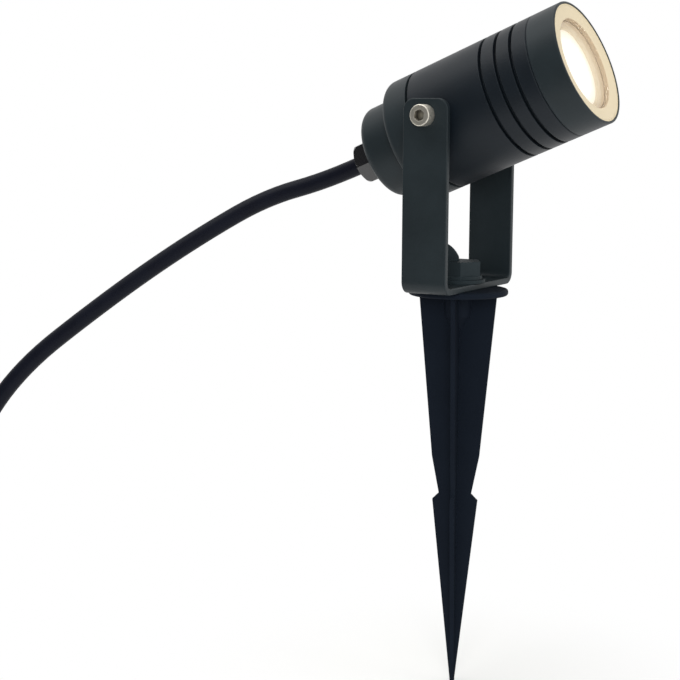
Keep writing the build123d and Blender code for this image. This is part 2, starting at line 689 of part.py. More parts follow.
def ground_spike():
    """Moulded spike: flange, hub for the stud, and two crossed blades."""
    flange = tube(FLANGE_LOW, FLANGE_TOP, FLANGE_R, 0)
    flange = fillet(rims(flange, FLANGE_R, FLANGE_TOP), FLANGE_TOP_ROUND)
    flange = fillet(rims(flange, FLANGE_R, FLANGE_LOW), FLANGE_LOW_ROUND)
    hub_r = STUD_R + HUB_WALL
    hub_end = -STUD_DEPTH - HUB_FLOOR
    hub_top = FLANGE_LOW + FLANGE_T / 2
    hub = turned([
        (0, hub_top), (hub_r, hub_top), (hub_r - HUB_TAPER, hub_end), (HUB_CONE_R, hub_end - HUB_CONE_L),
        (0, hub_end - HUB_CONE_L),
    ])
    spike = flange + hub + spike_blade() + Rot(0, 0, 90) * spike_blade()
    spike -= rod(-STUD_DEPTH, FLANGE_TOP, STUD_R)
    return Rot(0, 0, BLADE_TURN) * spike


def spike_stud():
    """Steel stud moulded into the spike, up through the yoke's base into the thumb nut."""
    top = NUT_TOP - NUT_TOP_WALL - STUD_TOP_GAP
    radius = STUD_R - STUD_FIT
    stud = rod(-STUD_DEPTH, top, radius)
    return chamfer(rims(stud, radius, top), STUD_CHAMFER)


def flat_washer():
    """Flat washer between the yoke's base and the thumb nut."""
    return tube(BASE_TOP, WASHER_TOP, WASHER_R, STUD_R + PIVOT_FIT)


def thumb_tab():
    """Tab beside the nut: the part of a disc that stands above its level underside."""
    disc = Plane(origin=(TAB_CENTRE_X, 0, TAB_CENTRE_Z), z_dir=(0, -1, 0)) * Circle(TAB_R)
    tab = extrude(disc, TAB_T / 2, both=True)
    low = WASHER_TOP + TAB_UNDER_Z
    tab &= block(TAB_CENTRE_X - TAB_R, 0, -TAB_T, TAB_T, low, TAB_CENTRE_Z + TAB_R)
    return fillet(tab.edges().filter_by(GeomType.CIRCLE), TAB_EDGE_ROUND)


def thumb_nut():
    """Thumb nut: a hexagonal hub on a round foot, closed on top, with one rounded tab."""
    nut = Rot(0, 0, NUT_HEX_TURN) * hexagon(WASHER_TOP, NUT_TOP, NUT_AF)
    nut += tube(WASHER_TOP, WASHER_TOP + NUT_FOOT_H, NUT_FOOT_R, 0) + thumb_tab()
    nut -= rod(WASHER_TOP - CUT_OVERRUN, NUT_TOP - NUT_TOP_WALL, STUD_R + PIVOT_FIT)
    return Rot(0, 0, NUT_TURN) * nut


def cable_route():
    """Hand-set points of the free stretch, from the gland down to the floor and into the coil."""
    first = CABLE_EXIT - AXIS_DIR * CABLE_LEAVES
    middle = [
        (-104.0, -13.0, 46.9), (-130.0, -31.0, 28.5), (-155.0, -48.0, 8.5), (-180.0, -66.0, -14.2),
        (-204.0, -83.0, -37.5), (-223.0, -93.0, -64.0), (-236.5, -98.0, -95.0), (-248.0, -100.0, -136.0),
        (-262.0, -99.5, -162.0), (-284.0, -97.0, -179.5),
    ]
    last = COIL_ENTRY + Vector(CABLE_LANDS, 0, 0)
    return [CABLE_EXIT, first] + [Vector(*p) for p in middle] + [last, COIL_ENTRY]


def cable_lead():
    """Free stretch of the cable, with each bend as wide as its runs allow."""
    points = cable_route()
    runs = [(b - a) for a, b in zip(points, points[1:])]
    radii = []
    for before, after in zip(runs, runs[1:]):
        half = math.radians(before.get_angle(after)) / 2
        radii.append(BEND_SHARE * min(before.length, after.length) / math.tan(half))
    path = FilletPolyline(*points, radius=radii)
    lead = sweep(Plane(path @ 0, z_dir=path % 0) * Circle(CABLE_R), path)
    print("cable runs", [round(r.length, 1) for r in runs])
    print("cable radii", [round(r, 1) for r in radii], "least wanted", LEAST_BEND * CABLE_D)
    print("cable lead length", round(path.length, 1))
    print("cable volume ratio", round(lead.volume / (math.pi * CABLE_R ** 2 * path.length), 4))
    return lead


def coil_point(turn):
    """Coil centreline: in along the floor, up a layer where it turns back, and out again on top."""
    offset = turn - COIL_TURNS / 2
    if abs(offset) < COIL_TURNBACK / 2:
        radius = COIL_INNER_R + COIL_PITCH * offset ** 2 / COIL_TURNBACK
        climb = 0.5 - 0.5 * math.cos(math.pi * (offset / COIL_TURNBACK + 0.5))
    else:
        radius = COIL_INNER_R + COIL_PITCH * (abs(offset) - COIL_TURNBACK / 4)
        climb = 0.0 if offset < 0 else 1.0
    angle = -math.pi / 2 - 2 * math.pi * turn
    x = COIL_CENTRE[0] + radius * math.cos(angle)
    y = COIL_CENTRE[1] + radius * math.sin(angle)
    return Vector(x, y, COIL_LOW_Z + climb * (COIL_HIGH_Z - COIL_LOW_Z))


def coil_tangent(turn):
    """Direction of the coil's centreline; the ends run square to the radius."""
    if turn <= 0:
        return Vector(-1, 0, 0)
    if turn >= COIL_TURNS:
        return Vector(0, 1, 0)
    step = 1e-4
    return (coil_point(turn + step) - coil_point(turn - step)).normalized()


def biarc(start, start_dir, end, end_dir):
    """Two arcs that join two points and their directions."""
    chord = end - start
    both = start_dir + end_dir
    spread = 2 * (1 - start_dir.dot(end_dir))
    along = chord.dot(both)
    reach = (math.sqrt(along ** 2 + spread * chord.dot(chord)) - along) / spread
    first_corner = start + start_dir * reach
    second_corner = end - end_dir * reach
    middle = (first_corner + second_corner) * 0.5
    first = TangentArc(start, middle, tangent=start_dir)
    second = TangentArc(middle, end, tangent=second_corner - first_corner)
    return [first, second]


def cable_coil():
    """Put-away length of the cable, wound in two layers, with a straight stub at each end."""
    count = round(COIL_TURNS * COIL_STEPS_PER_TURN)
    turns = [COIL_TURNS * k / count for k in range(count + 1)]
    edges = [Line(COIL_ENTRY, coil_point(0))]
    for a, b in zip(turns, turns[1:]):
        edges += biarc(coil_point(a), coil_tangent(a), coil_point(b), coil_tangent(b))
    edges.append(Line(coil_point(COIL_TURNS), coil_point(COIL_TURNS) + Vector(0, COIL_TAIL, 0)))
    path = Wire(edges)
    samples = [path.position_at(k / COIL_SAMPLES) for k in range(COIL_SAMPLES + 1)]
    apart = int(COIL_SAMPLES / COIL_TURNS / 2)
    least = min((p - q).length for i, p in enumerate(samples) for q in samples[i + apart:])
    print("coil length", round(path.length, 1), "least gap to itself", round(least - CABLE_D, 2))
    coil = sweep(Plane(path @ 0, z_dir=path % 0) * Circle(CABLE_R), path)
    print("coil volume ratio", round(coil.volume / (math.pi * CABLE_R ** 2 * path.length), 4))
    return coil


def coil_tie():
    """Strap round the coil's bundle, on the side away from the cable's two ends."""
    inner = COIL_INNER_R - CABLE_R - TIE_INNER_SLACK
    outer = COIL_OUTER_R + CABLE_R + TIE_SLACK
    low, high = FLOOR_Z + TIE_T, COIL_HIGH_Z + CABLE_R + TIE_SLACK
    middle = Pos((inner + outer) / 2, (low + high) / 2)
    width, height = outer - inner, high - low
    band = RectangleRounded(width + 2 * TIE_T, height + 2 * TIE_T, TIE_CORNER_R + TIE_T)
    band -= RectangleRounded(width, height, TIE_CORNER_R)
    strap = extrude(Plane.XZ * middle * band, TIE_WIDTH / 2, both=True)
    return Pos(COIL_CENTRE[0], COIL_CENTRE[1], 0) * Rot(0, 0, TIE_PLACE) * strap


def plug_frame():
    """Frame at the coil's upper end, with Z along the cable into the plug."""
    return Plane(origin=coil_point(COIL_TURNS) + Vector(0, COIL_TAIL, 0), x_dir=(1, 0, 0), z_dir=(0, 1, 0))


def plug_relief():
    """Ribbed strain relief at the plug."""
    wide = CABLE_R + RELIEF_WIDE
    relief = turned([(0, 0), (CABLE_R + RELIEF_SLIM, 0), (wide, RELIEF_L), (0, RELIEF_L)])
    for k in range(RELIEF_SLOTS):
        low = RELIEF_SLOT_START + RELIEF_SLOT_PITCH * k
        relief -= tube(low, low + RELIEF_SLOT_WIDTH, wide + CUT_OVERRUN, CABLE_R + RELIEF_CORE_WALL)
    return relief


def plug_body():
    """Moulded two-pin plug body: an oval that widens to the pin face."""
    shoulder_w = PLUG_W - 2 * PLUG_SHOULDER_STEP
    shoulder_t = PLUG_T - 2 * PLUG_SHOULDER_DROP
    outlines = [
        (0, PLUG_NECK_W, PLUG_NECK_T), (PLUG_SHOULDER_L, shoulder_w, shoulder_t),
        (PLUG_L - PLUG_FACE_L, PLUG_W, PLUG_T), (PLUG_L, PLUG_W, PLUG_T),
    ]
    sections = []
    for height, width, depth in outlines:
        corner = min(width, depth) * PLUG_CORNER
        sections.append(Pos(0, 0, RELIEF_L + height) * RectangleRounded(width, depth, corner))
    return loft(sections, ruled=True)


def plug_pins():
    """Two round pins with rounded tips."""
    low = RELIEF_L + PLUG_L
    pins = []
    for side in (-1, 1):
        pin = rod(low, low + PLUG_PIN_L, PLUG_PIN_R, side * PLUG_PIN_SPACING / 2)
        tip = pin.edges().filter_by(GeomType.CIRCLE).group_by(Axis.Z)[-1]
        pins.append(fillet(tip, PLUG_PIN_ROUND).solid())
    return Compound(pins)


head_nodes = {
    "head_barrel": head_barrel(),
    "front_bezel": front_bezel(),
    "bezel_gasket": bezel_gasket(),
    "front_glass": front_glass(),
    "glass_seal": glass_seal(),
    "trim_ring": trim_ring(),
    "lens": lens(),
    "reflector_cup": reflector_cup(),
    "led_emitter": led_emitter(),
    "led_board": led_board(),
    "thermal_pad": thermal_pad(),
    "led_screws": led_screws(),
    "rear_cap": rear_cap(),
    "cap_oring": cap_oring(),
    "driver_sleeve": driver_sleeve(),
    "driver_board": driver_board(),
    "driver_transformer": driver_transformer(),
    "driver_capacitor": driver_capacitor(),
    "terminal_block": terminal_block(),
    "led_lead_positive": led_lead(LEAD_Y),
    "led_lead_negative": led_lead(-LEAD_Y),
    "supply_core_live": supply_core(1),
    "supply_core_neutral": supply_core(-1),
    "gland_body": gland_body(),
    "gland_seal": gland_seal(),
    "gland_nut": gland_nut(),
    "cable_end": cable_end(),
    "pivot_screw_near": pivot_screw(1),
    "pivot_screw_far": pivot_screw(-1),
    "pivot_spacer_near": pivot_spacer(1),
    "pivot_spacer_far": pivot_spacer(-1),
}
plug_nodes = {
    "plug_relief": plug_relief(),
    "plug_body": plug_body(),
    "plug_pins": plug_pins(),
}
fixed_nodes = {
    "yoke_bracket": yoke_bracket(),
    "flat_washer": flat_washer(),
    "thumb_nut": thumb_nut(),
    "ground_spike": ground_spike(),
    "spike_stud": spike_stud(),
    "cable_lead": cable_lead(),
    "cable_coil": cable_coil(),
    "coil_tie": coil_tie(),
}

nodes = {name: HEAD * shape for name, shape in head_nodes.items()}
nodes.update({name: plug_frame() * shape for name, shape in plug_nodes.items()})
nodes.update(fixed_nodes)

os.makedirs("parts", exist_ok=True)
for name, shape in nodes.items():
    export_step(shape, f"parts/{name}.step")
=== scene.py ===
"""Looks of the landscape spotlight, built round its CAD frame, in metres.

X is the way the head aims, Y runs along the tilt pivots and Z is up, with the origin on the ground line.
"""

import json
import math

import bpy
import numpy as np
from mathutils import Matrix, Vector


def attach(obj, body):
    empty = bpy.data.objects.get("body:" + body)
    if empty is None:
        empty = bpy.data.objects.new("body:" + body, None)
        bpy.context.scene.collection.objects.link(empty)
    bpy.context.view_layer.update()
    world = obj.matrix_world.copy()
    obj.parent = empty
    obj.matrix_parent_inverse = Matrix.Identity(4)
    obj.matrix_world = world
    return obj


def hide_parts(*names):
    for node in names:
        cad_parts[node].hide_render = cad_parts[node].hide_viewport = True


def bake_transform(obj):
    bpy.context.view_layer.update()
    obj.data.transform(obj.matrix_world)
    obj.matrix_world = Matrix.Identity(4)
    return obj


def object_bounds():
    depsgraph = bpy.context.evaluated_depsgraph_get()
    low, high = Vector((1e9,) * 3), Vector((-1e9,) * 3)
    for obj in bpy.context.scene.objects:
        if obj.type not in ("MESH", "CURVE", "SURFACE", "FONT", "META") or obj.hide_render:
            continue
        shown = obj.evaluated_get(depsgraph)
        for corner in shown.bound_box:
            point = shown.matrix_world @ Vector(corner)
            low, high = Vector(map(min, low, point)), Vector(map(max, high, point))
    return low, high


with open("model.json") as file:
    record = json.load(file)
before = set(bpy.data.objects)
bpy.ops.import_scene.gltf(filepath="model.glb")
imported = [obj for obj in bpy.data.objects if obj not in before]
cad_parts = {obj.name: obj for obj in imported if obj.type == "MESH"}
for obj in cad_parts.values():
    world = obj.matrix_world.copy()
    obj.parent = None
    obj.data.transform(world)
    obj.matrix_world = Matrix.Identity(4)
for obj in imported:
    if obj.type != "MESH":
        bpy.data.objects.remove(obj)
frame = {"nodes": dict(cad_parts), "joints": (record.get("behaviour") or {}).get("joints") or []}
cad_low, cad_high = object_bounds()

MM = 0.001

# Camera, with its angles in degrees and its sensor and lens in millimetres
EYE = Vector((0.3398, -0.6781, 0.0883))
EYE_YAW = 30.97
EYE_PITCH = -8.18
EYE_ROLL = 0.33
EYE_SENSOR = 36.0
EYE_LENS = 82.48

# Head, with its tilt in degrees, and its lens and trim ring's middle as distances along its axis
HEAD_TILT = 22.4
PIVOT_ABOVE_AXIS = 1.8 * MM
LENS_FRONT = 62.05 * MM
LENS_R = 19.5 * MM
TRIM_MIDDLE = 66.2 * MM
TRIM_EDGE_R = 22.2 * MM
PIVOT = Vector(next(j["pos_m"] for j in frame["joints"] if j["name"] == "head_tilt"))
HEAD_TURN = Matrix.Rotation(math.radians(90 - HEAD_TILT), 3, "Y")
HEAD_UP = HEAD_TURN @ Vector((-1, 0, 0))
HEAD_AXIS = HEAD_TURN @ Vector((0, 0, 1))
HEAD_ORIGIN = PIVOT - HEAD_UP * PIVOT_ABOVE_AXIS

# How far inwards the front's colours change, as shares of the lens's and the trim edge's radius; in the
# trim's recess they are painted shade and a painted glow from the lens
LENS_WARM_RIM = 0.35
TRIM_FACE_END = 0.012
TRIM_CONE_GLOW = 0.045, 0.135

# Cable, with the same route as its solids
FLOOR_Z = cad_low.z
CABLE_R = 4.4 * MM
CABLE_SIDES = 28
CABLE_STEPS = 6
CABLE_ROUTE = [
    (-0.05414, 0.0, 0.06464), (-0.07494, 0.0, 0.05607), (-0.104, -0.013, 0.0469),
    (-0.130, -0.031, 0.0285), (-0.155, -0.048, 0.0085), (-0.180, -0.066, -0.0142),
    (-0.204, -0.083, -0.0375), (-0.223, -0.093, -0.064), (-0.2365, -0.098, -0.095),
    (-0.248, -0.100, -0.136), (-0.262, -0.0995, -0.162), (-0.284, -0.097, -0.1795),
    (-0.3302, -0.095, -0.1891), (-0.3512, -0.095, -0.1891),
]
DIE_LINES = 60.0
DIE_LINE_MM = 90

# Coil and its tie, which holds the bundle half a turn from where the cable enters it
TIE_T = 1.0 * MM
TIE_WIDTH = 12.0 * MM
TIE_SLACK = 0.1 * MM
TIE_INNER_SLACK = 0.9 * MM
TIE_TURN = 0.5
TIE_STEPS = 96
TIE_SECTION_POINTS = 20
COIL_CENTRE = np.array((-0.360, -0.03675))
COIL_TURNS = 3.25
COIL_TURNBACK = 0.5
COIL_INNER_R = 44.0 * MM
COIL_PITCH = 9.5 * MM
COIL_POINTS_PER_TURN = 16
COIL_TAIL = 18.0 * MM
COIL_OUTER_R = COIL_INNER_R + COIL_PITCH * (COIL_TURNS / 2 - COIL_TURNBACK / 4)
COIL_LOW_Z = FLOOR_Z + TIE_T + CABLE_R
COIL_HIGH_Z = COIL_LOW_Z + COIL_PITCH

# Plug, with its neck and face as half sizes, and its swell, grip and grooves' reach as shares
RELIEF_L = 22.0 * MM
PLUG_L = 38.0 * MM
PLUG_NECK = np.array((9.0, 8.5)) * MM
PLUG_FACE = np.array((18.0 * MM, COIL_HIGH_Z - FLOOR_Z))
PLUG_SWELL_END = 0.55
PLUG_FACE_ROUND = 2.0 * MM
PLUG_GROOVES = 5
PLUG_GROOVE_DEPTH = 0.8 * MM
PLUG_GROOVE_REACH = 0.75
PLUG_GROOVE_SLOPE = 1.6
PLUG_GRIP = (0.42, 0.88)
PLUG_RINGS = 100
PLUG_SIDES = 72

# Powers of the superellipses: 1 is an ellipse, and a lower one is nearer to a rectangle
TIE_LOOP_POWER = 0.25
TIE_WIDTH_POWER = 0.3
TIE_THICKNESS_POWER = 0.6
PLUG_POWER = 0.75

# Finishes, with the cosines between which a bend counts as an edge, and how much edges lighten
EDGE_COSINES = 0.9, 0.995
# The coat's edges lighten partly as wear and partly as a painted highlight
COAT_WEAR_AND_HIGHLIGHT = 0.12
# Plastic edges lighten as a painted highlight
PLASTIC_EDGE_HIGHLIGHT = 0.3

# Stage, with the cosines from the dim side between which the room gets dimmer
FLOOR_REACH = 6.0
FLOOR_FRONT = -0.45
FLOOR_DROP = 0.2 * MM
AMBIENT = 0.75
DIM_SIDE = Vector((-0.35, -0.93, -0.05)).normalized()
DIM_COSINES = 0.1, 0.8
DIM_LEVEL = 0.1
LAMP_AIM = Vector((0, 0, 0.05))

# Shadow zones of the floor, as a middle and the distances where fading to plain white starts and ends
SPIKE_SHADOW = (0, 0, FLOOR_Z), 0.02, 0.16
# This zone is set off from the coil, so that the floor between coil and spike is plain white
COIL_SHADOW = (-0.477, -0.147, FLOOR_Z), 0.195, 0.223


def linear(hex_colour):
    """An sRGB hex colour as linear RGBA."""
    parts = np.array([int(hex_colour[k:k + 2], 16) for k in (1, 3, 5)]) / 255
    low, high = parts / 12.92, ((parts + 0.055) / 1.055) ** 2.4
    return (*np.where(parts <= 0.04045, low, high), 1.0)


def per_mm(size):
    """Texture scale whose features are about this many millimetres."""
    return 1 / (size * MM)


def plug_in(tree, node, sockets):
    """Fills a node's inputs: a value is set on its socket, and another node's output is linked to it."""
    for name, value in sockets.items():
        if isinstance(value, bpy.types.NodeSocket):
            tree.links.new(value, node.inputs[name])
        else:
            node.inputs[name].default_value = value


def put(tree, kind, sockets, out=0, **settings):
    """Adds a node with its settings and inputs, and gives one of its outputs."""
    node = tree.nodes.new(kind)
    for name, value in settings.items():
        setattr(node, name, value)
    plug_in(tree, node, sockets)
    return node.outputs[out]


def start_material(name):
    """A new material with its node tree, its shader and its Object coordinates."""
    material = bpy.data.materials.new(name)
    material.use_nodes = True
    tree = material.node_tree
    place = put(tree, "ShaderNodeTexCoord", {}, "Object")
    return material, tree, tree.nodes["Principled BSDF"], place


# The colour sockets of a Mix node
MIX_FACTOR, MIX_FIRST, MIX_SECOND, MIX_COLOUR = 0, 6, 7, 2


def softened_edges(tree, radius):
    """Normal with the edges rounded to a radius, and a mask that is 1 along those edges."""
    rounded = put(tree, "ShaderNodeBevel", {"Radius": radius}, samples=6)
    flat = put(tree, "ShaderNodeNewGeometry", {}, "Normal")
    turn = put(tree, "ShaderNodeVectorMath", {0: rounded, 1: flat}, "Value", operation="DOT_PRODUCT")
    sharp, flush = EDGE_COSINES
    mask = put(tree, "ShaderNodeMapRange", {
        "Value": turn, "From Min": sharp, "From Max": flush, "To Min": 1.0, "To Max": 0.0})
    return rounded, mask


def powder_coat(name, dark, light):
    """Polyester powder coat: sprayed dry and baked, so it has a low even sheen and a fine orange peel."""
    material, tree, shader, place = start_material(name)
    cloud = put(tree, "ShaderNodeTexNoise", {"Vector": place, "Scale": per_mm(16), "Detail": 4.0})
    # The real peel is about 0.4 mm; it is drawn at 1 mm so that it shows
    peel = put(tree, "ShaderNodeTexNoise", {"Vector": place, "Scale": per_mm(1.0), "Detail": 3.0})
    normal, edge = softened_edges(tree, radius=0.5 * MM)
    tone = put(tree, "ShaderNodeMix", {
        MIX_FACTOR: cloud, MIX_FIRST: linear(dark), MIX_SECOND: linear(light)},
        MIX_COLOUR, data_type="RGBA")
    # Edges lighten towards a pale grey, partly as wear and partly as a painted highlight
    wear_and_highlight = put(tree, "ShaderNodeMath", {0: edge, 1: COAT_WEAR_AND_HIGHLIGHT}, operation="MULTIPLY")
    colour = put(tree, "ShaderNodeMix", {
        MIX_FACTOR: wear_and_highlight, MIX_FIRST: tone, MIX_SECOND: linear("#4a5357")},
        MIX_COLOUR, data_type="RGBA")
    gloss = put(tree, "ShaderNodeMapRange", {"Value": cloud, "To Min": 0.40, "To Max": 0.52})
    bump = put(tree, "ShaderNodeBump", {
        "Height": peel, "Strength": 0.4, "Distance": 0.12 * MM, "Normal": normal})
    plug_in(tree, shader, {
        "Base Color": colour, "Roughness": gloss, "Normal": bump, "Specular IOR Level": 0.28})
    return material


def moulded_plastic(name, dark, light, roughness, grain_mm, specular=0.4):
    """Injection-moulded thermoplastic: a spark-eroded grain from the mould, and a painted highlight that
    lightens the edges.
    """
    material, tree, shader, place = start_material(name)
    cloud = put(tree, "ShaderNodeTexNoise", {"Vector": place, "Scale": per_mm(20), "Detail": 4.0})
    grain = put(tree, "ShaderNodeTexVoronoi", {"Vector": place, "Scale": per_mm(grain_mm)})
    normal, edge = softened_edges(tree, radius=0.4 * MM)
    tone = put(tree, "ShaderNodeMix", {
        MIX_FACTOR: cloud, MIX_FIRST: linear(dark), MIX_SECOND: linear(light)},
        MIX_COLOUR, data_type="RGBA")
    # Edges lighten towards the light tone as a painted highlight
    painted_highlight = put(tree, "ShaderNodeMath", {0: edge, 1: PLASTIC_EDGE_HIGHLIGHT}, operation="MULTIPLY")
    colour = put(tree, "ShaderNodeMix", {
        MIX_FACTOR: painted_highlight, MIX_FIRST: tone, MIX_SECOND: linear(light)},
        MIX_COLOUR, data_type="RGBA")
    gloss = put(tree, "ShaderNodeMapRange", {
        "Value": cloud, "To Min": roughness - 0.05, "To Max": roughness + 0.07})
    bump = put(tree, "ShaderNodeBump", {
        "Height": grain, "Strength": 0.2, "Distance": 0.06 * MM, "Normal": normal})
    plug_in(tree, shader, {
        "Base Color": colour, "Roughness": gloss, "Normal": bump, "Specular IOR Level": specular})
    return material


def clear_glass():
    """Tempered soda-lime glass: clear enough to see the recess, with a faint smear in its gloss."""
    material, tree, shader, place = start_material("tempered_glass")
    smear = put(tree, "ShaderNodeTexNoise", {"Vector": place, "Scale": per_mm(25), "Detail": 3.0})
    gloss = put(tree, "ShaderNodeMapRange", {"Value": smear, "To Min": 0.0, "To Max": 0.03})
    plug_in(tree, shader, {
        "Base Color": linear("#f7fbf8"), "Transmission Weight": 1.0, "IOR": 1.5, "Alpha": 0.08,
        "Roughness": gloss})
    return material


def fall_from(tree, place, along, radius):
    """1 at a point on the head's axis, down to 0 at a radius from it."""
    centre = HEAD_ORIGIN + HEAD_AXIS * along
    local = put(tree, "ShaderNodeMapping", {
        "Vector": place, "Location": centre, "Scale": (radius,) * 3}, vector_type="TEXTURE")
    return put(tree, "ShaderNodeTexGradient", {"Vector": local}, "Fac", gradient_type="SPHERICAL")


def trim_plastic():
    """Moulded polycarbonate: a cream face, and in the recess a deeper tan as painted shade, lightened near
    the lens as a painted glow of the warm LED.
    """
    material, tree, shader, place = start_material("polycarbonate_cream")
    cloud = put(tree, "ShaderNodeTexNoise", {"Vector": place, "Scale": per_mm(18), "Detail": 4.0})
    fall = fall_from(tree, place, TRIM_MIDDLE, TRIM_EDGE_R)
    # Inwards of the face the colour turns to tan as painted shade, and lightens again near the lens as a
    # painted glow from the LED
    recess_shade = put(tree, "ShaderNodeMapRange", {"Value": fall, "From Max": TRIM_FACE_END})
    painted_lens_glow = put(tree, "ShaderNodeMapRange", {
        "Value": fall, "From Min": TRIM_CONE_GLOW[0], "From Max": TRIM_CONE_GLOW[1]})
    normal, _ = softened_edges(tree, radius=0.3 * MM)
    face = put(tree, "ShaderNodeMix", {
        MIX_FACTOR: cloud, MIX_FIRST: linear("#d3c4a3"), MIX_SECOND: linear("#dbccaf")},
        MIX_COLOUR, data_type="RGBA")
    cone = put(tree, "ShaderNodeMix", {
        MIX_FACTOR: painted_lens_glow, MIX_FIRST: linear("#b9a58b"), MIX_SECOND: linear("#d5c5a7")},
        MIX_COLOUR, data_type="RGBA")
    colour = put(tree, "ShaderNodeMix", {
        MIX_FACTOR: recess_shade, MIX_FIRST: face, MIX_SECOND: cone}, MIX_COLOUR, data_type="RGBA")
    gloss = put(tree, "ShaderNodeMapRange", {"Value": cloud, "To Min": 0.45, "To Max": 0.58})
    plug_in(tree, shader, {
        "Base Color": colour, "Roughness": gloss, "Normal": normal, "Specular IOR Level": 0.3})
    return material


def frosted_lens():
    """Frosted acrylic over the lit LED: white where the light comes through, warmer towards its edge."""
    material, tree, shader, place = start_material("frosted_acrylic_lit")
    fall = fall_from(tree, place, LENS_FRONT, LENS_R)
    rim = put(tree, "ShaderNodeMapRange", {
        "Value": fall, "From Min": 0.0, "From Max": LENS_WARM_RIM, "To Min": 1.0, "To Max": 0.0})
    grain = put(tree, "ShaderNodeTexNoise", {"Vector": place, "Scale": per_mm(0.8), "Detail": 2.0})
    glow = put(tree, "ShaderNodeMix", {
        MIX_FACTOR: rim, MIX_FIRST: linear("#fffdf0"), MIX_SECOND: linear("#e1d4be")},
        MIX_COLOUR, data_type="RGBA")
    bump = put(tree, "ShaderNodeBump", {"Height": grain, "Strength": 0.2, "Distance": 0.05 * MM})
    plug_in(tree, shader, {
        "Base Color": linear("#7c776b"), "Roughness": 0.45, "Emission Color": glow,
        "Emission Strength": 1.0, "Normal": bump})
    return material


def machined_steel():
    """Stainless steel, machined: fine tool marks, a soft warm-grey gloss, and painted shade in the sockets
    and other hollows.
    """
    material, tree, shader, place = start_material("stainless_steel_machined")
    marks = put(tree, "ShaderNodeTexNoise", {"Vector": place, "Scale": per_mm(0.7), "Detail": 4.0})
    tint = put(tree, "ShaderNodeTexNoise", {"Vector": place, "Scale": per_mm(5), "Detail": 2.0})
    normal, _ = softened_edges(tree, radius=0.3 * MM)
    tone = put(tree, "ShaderNodeMix", {
        MIX_FACTOR: tint, MIX_FIRST: linear("#e2ddcf"), MIX_SECOND: linear("#f5f0e4")},
        MIX_COLOUR, data_type="RGBA")
    # Hollows such as the screw sockets darken to brown-black, as painted shade
    open_sky = put(
        tree, "ShaderNodeAmbientOcclusion", {"Distance": 3.0 * MM}, "AO", samples=8, only_local=True)
    socket_shade = put(tree, "ShaderNodeMapRange", {
        "Value": open_sky, "From Min": 0.4, "From Max": 0.85, "To Min": 0.8, "To Max": 0.0})
    colour = put(tree, "ShaderNodeMix", {
        MIX_FACTOR: socket_shade, MIX_FIRST: tone, MIX_SECOND: linear("#241f19")},
        MIX_COLOUR, data_type="RGBA")
    gloss = put(tree, "ShaderNodeMapRange", {"Value": marks, "To Min": 0.44, "To Max": 0.58})
    bump = put(tree, "ShaderNodeBump", {
        "Height": marks, "Strength": 0.1, "Distance": 0.05 * MM, "Normal": normal})
    plug_in(tree, shader, {"Base Color": colour, "Metallic": 1.0, "Roughness": gloss, "Normal": bump})
    return material


def moulded_rubber(name, dark, light):
    """Moulded elastomer: dull, with a faint bloom."""
    material, tree, shader, place = start_material(name)
    bloom = put(tree, "ShaderNodeTexNoise", {"Vector": place, "Scale": per_mm(7), "Detail": 5.0})
    tone = put(tree, "ShaderNodeMix", {
        MIX_FACTOR: bloom, MIX_FIRST: linear(dark), MIX_SECOND: linear(light)},
        MIX_COLOUR, data_type="RGBA")
    bump = put(tree, "ShaderNodeBump", {"Height": bloom, "Strength": 0.15, "Distance": 0.1 * MM})
    plug_in(tree, shader, {
        "Base Color": tone, "Roughness": 0.55, "Normal": bump, "Specular IOR Level": 0.3})
    return material


def cable_sheath():
    """Extruded rubber sheath: blue-black with a low gloss, and fine lines along it from the die."""
    material, tree, shader, place = start_material("rubber_sheath_extruded")
    along = put(tree, "ShaderNodeUVMap", {}, uv_map="along")
    lines = put(tree, "ShaderNodeMapping", {"Vector": along, "Scale": (DIE_LINES, per_mm(DIE_LINE_MM), 1.0)})
    die = put(tree, "ShaderNodeTexNoise", {"Vector": lines, "Scale": 1.0, "Detail": 3.0})
    bloom = put(tree, "ShaderNodeTexNoise", {"Vector": place, "Scale": per_mm(12), "Detail": 4.0})
    tone = put(tree, "ShaderNodeMix", {
        MIX_FACTOR: bloom, MIX_FIRST: linear("#0a0c14"), MIX_SECOND: linear("#10131e")},
        MIX_COLOUR, data_type="RGBA")
    gloss = put(tree, "ShaderNodeMapRange", {"Value": bloom, "To Min": 0.38, "To Max": 0.54})
    bump = put(tree, "ShaderNodeBump", {"Height": die, "Strength": 0.25, "Distance": 0.1 * MM})
    plug_in(tree, shader, {
        "Base Color": tone, "Roughness": gloss, "Normal": bump, "Specular IOR Level": 0.12})
    return material


def coated(name, dark, light, cloud_mm, roughness=0.45):
    """A dyed or lacquered surface, slightly cloudy, as on boards, tape, wire insulation and webbing."""
    material, tree, shader, place = start_material(name)
    cloud = put(tree, "ShaderNodeTexNoise", {"Vector": place, "Scale": per_mm(cloud_mm), "Detail": 4.0})
    tone = put(tree, "ShaderNodeMix", {
        MIX_FACTOR: cloud, MIX_FIRST: linear(dark), MIX_SECOND: linear(light)},
        MIX_COLOUR, data_type="RGBA")
    gloss = put(tree, "ShaderNodeMapRange", {
        "Value": cloud, "To Min": roughness - 0.06, "To Max": roughness + 0.08})
    plug_in(tree, shader, {"Base Color": tone, "Roughness": gloss})
    return material


def dress(material, *nodes):
    """Gives CAD nodes a material."""
    for node in nodes:
        mesh = frame["nodes"][node].data
        mesh.materials.clear()
        mesh.materials.append(material)


